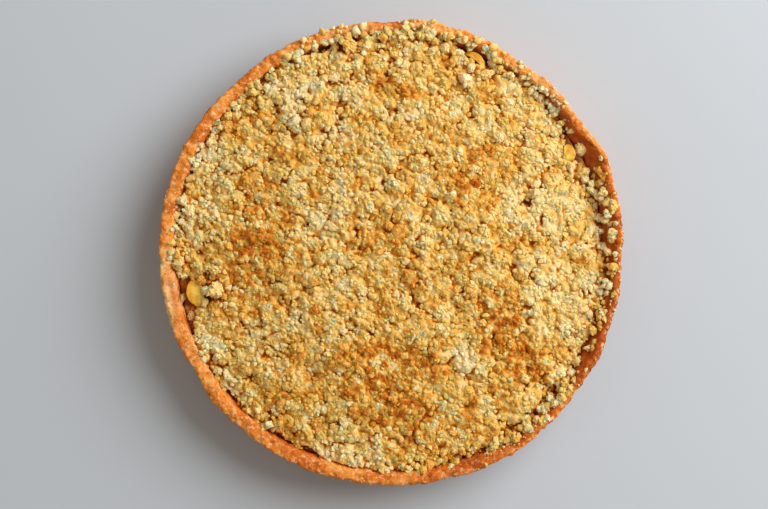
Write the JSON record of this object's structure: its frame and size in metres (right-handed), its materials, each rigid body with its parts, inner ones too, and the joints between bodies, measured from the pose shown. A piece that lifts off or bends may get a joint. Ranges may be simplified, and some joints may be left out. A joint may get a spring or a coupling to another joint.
{
  "type": "apple crumble pie",
  "caption": "Whole round apple pie in a low, hand-pressed shortcrust case, topped with a domed heap of butter crumble that lets apple show at its edge.",
  "frame": {"origin": "centre of the flat underside that the pie rests on", "axes": "+Z up out of the crumble, +X and +Y along the underside; seen from above with +X to the right and +Y upwards, the pie lies as in the reference view"},
  "size_m": [0.2591, 0.26, 0.0475],
  "materials": {
    "shortcrust": "baked shortcrust, matt and finely pitted",
    "filling": "moist baked apple in brown syrup",
    "crumble": "pale gold baked crumbs, dry and rough",
    "apple": "soft baked apple, moist"
  },
  "bodies": {
    "root": {"pastry_case": "shortcrust", "apple_filling": "filling", "crumble_topping": "crumble", "apple_slice_left": "apple", "apple_slice_top": "apple", "apple_slice_right": "apple"}
  },
  "joints": []
}
